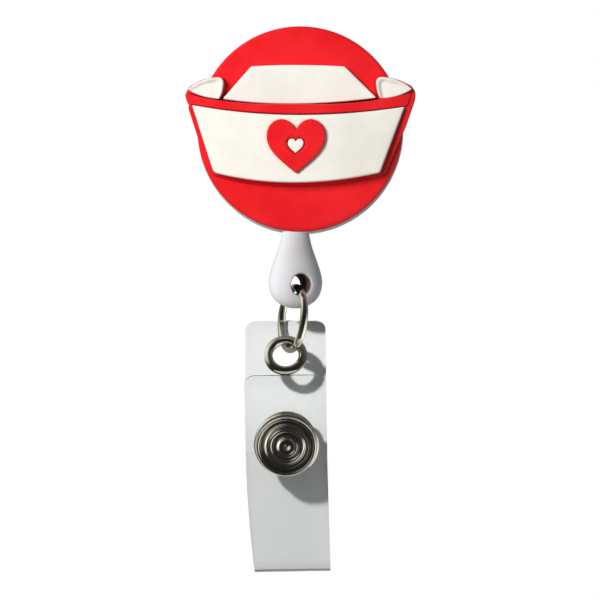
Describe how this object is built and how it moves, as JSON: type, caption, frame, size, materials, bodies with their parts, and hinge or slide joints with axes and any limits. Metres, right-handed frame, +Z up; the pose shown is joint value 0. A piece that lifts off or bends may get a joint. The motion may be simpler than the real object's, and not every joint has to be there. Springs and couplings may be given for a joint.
{
  "type": "retractable badge reel",
  "caption": "Round badge reel with a soft nurse's-cap cover, retractable cord, end drop, wire ring, clear snap strap and a swivelling spring clip.",
  "frame": {"origin": "where the clip's jaws meet, on the plane of the grip, which is what holds the hanging reel up", "axes": "+Z up as it hangs, -Y the way the cover faces, +X to the right as seen from the front"},
  "size_m": [0.0358, 0.0249, 0.086],
  "materials": {
    "red_pvc": "satin soft PVC",
    "white_pvc": "satin soft PVC",
    "white_plastic": "gloss",
    "natural_plastic": "natural",
    "nickel": "nickel plated",
    "spring_steel": "blued",
    "cord": "braided nylon",
    "clear_vinyl": "clear, glossy",
    "foam": "double-sided foam tape"
  },
  "bodies": {
    "clip": {"clip_base": "nickel", "clip_pin": "nickel", "clip_spring": "spring_steel", "swivel_washer": "natural_plastic"},
    "clip_lever": {"clip_lever": "nickel"},
    "casing": {"cover_body": "red_pvc", "cap_crown": "white_pvc", "cap_front_panel": "white_pvc", "cap_left_fold": "white_pvc", "cap_right_fold": "white_pvc", "emblem": "red_pvc", "emblem_inset": "white_pvc", "adhesive_pad": "foam", "front_shell": "white_plastic", "rear_shell": "white_plastic", "power_spring": "spring_steel", "cord_inner_run": "cord", "swivel_rivet": "nickel"},
    "spool": {"spool": "natural_plastic", "cord_winding": "cord"},
    "cord_tip": {"cord_tail": "cord", "cord_knot": "cord"},
    "cord_end": {"cord_end_drop": "white_plastic"},
    "ring": {"wire_ring": "nickel"},
    "strap": {"strap_back_leaf": "clear_vinyl", "strap_fold": "clear_vinyl", "eyelet": "nickel", "snap_stud": "nickel", "snap_post": "nickel"},
    "flap": {"strap_flap": "clear_vinyl", "snap_cap": "nickel", "snap_socket": "nickel", "snap_spring_ring": "nickel"}
  },
  "joints": [
    {"name": "clip_lever_hinge", "type": "hinge", "parent": "clip", "child": "clip_lever", "pos_m": [0, 0.0005, 0.01665], "axis": [1, 0, 0], "range_deg": [0, 22], "stiffness_Nm_per_rad": 0.02, "springref_deg": -28.65, "deforming": ["clip_spring"]},
    {"name": "clip_swivel", "type": "hinge", "parent": "clip", "child": "casing", "pos_m": [0, -0.0033, 0.01285], "axis": [0, 1, 0], "continuous": true},
    {"name": "spool_spin", "type": "hinge", "parent": "casing", "child": "spool", "pos_m": [0, -0.0083, 0.01285], "axis": [0, 1, 0], "range_deg": [-4221, 0], "deforming": ["power_spring", "cord_inner_run"]},
    {"name": "cord_pull", "type": "slide", "parent": "casing", "child": "cord_tip", "axis": [0, 0, -1], "range_m": [0, 0.75], "stiffness_N_per_m": 0.8, "springref_m": -1},
    {"name": "drop_turn", "type": "hinge", "parent": "cord_tip", "child": "cord_end", "pos_m": [-0.0008, -0.0083, -0.00715], "axis": [0, 0, 1], "continuous": true},
    {"name": "ring_swing", "type": "hinge", "parent": "cord_end", "child": "ring", "pos_m": [-0.0008, -0.0083, -0.0118], "axis": [-0.3746, 0.9272, 0], "range_deg": [-30, 30]},
    {"name": "strap_swing", "type": "hinge", "parent": "ring", "child": "strap", "pos_m": [-0.00123, -0.00848, -0.01668], "axis": [0.9272, 0.3746, 0], "range_deg": [-35, 35]},
    {"name": "flap_open", "type": "hinge", "parent": "strap", "child": "flap", "pos_m": [-0.00187, -0.00805, -0.05504], "axis": [0.9999, 0, 0.0148], "range_deg": [0, 150], "deforming": ["strap_fold"]}
  ],
  "couplings": [
    {"joint": "spool_spin", "follows": "cord_pull", "rad_per_m": -98.04}
  ]
}
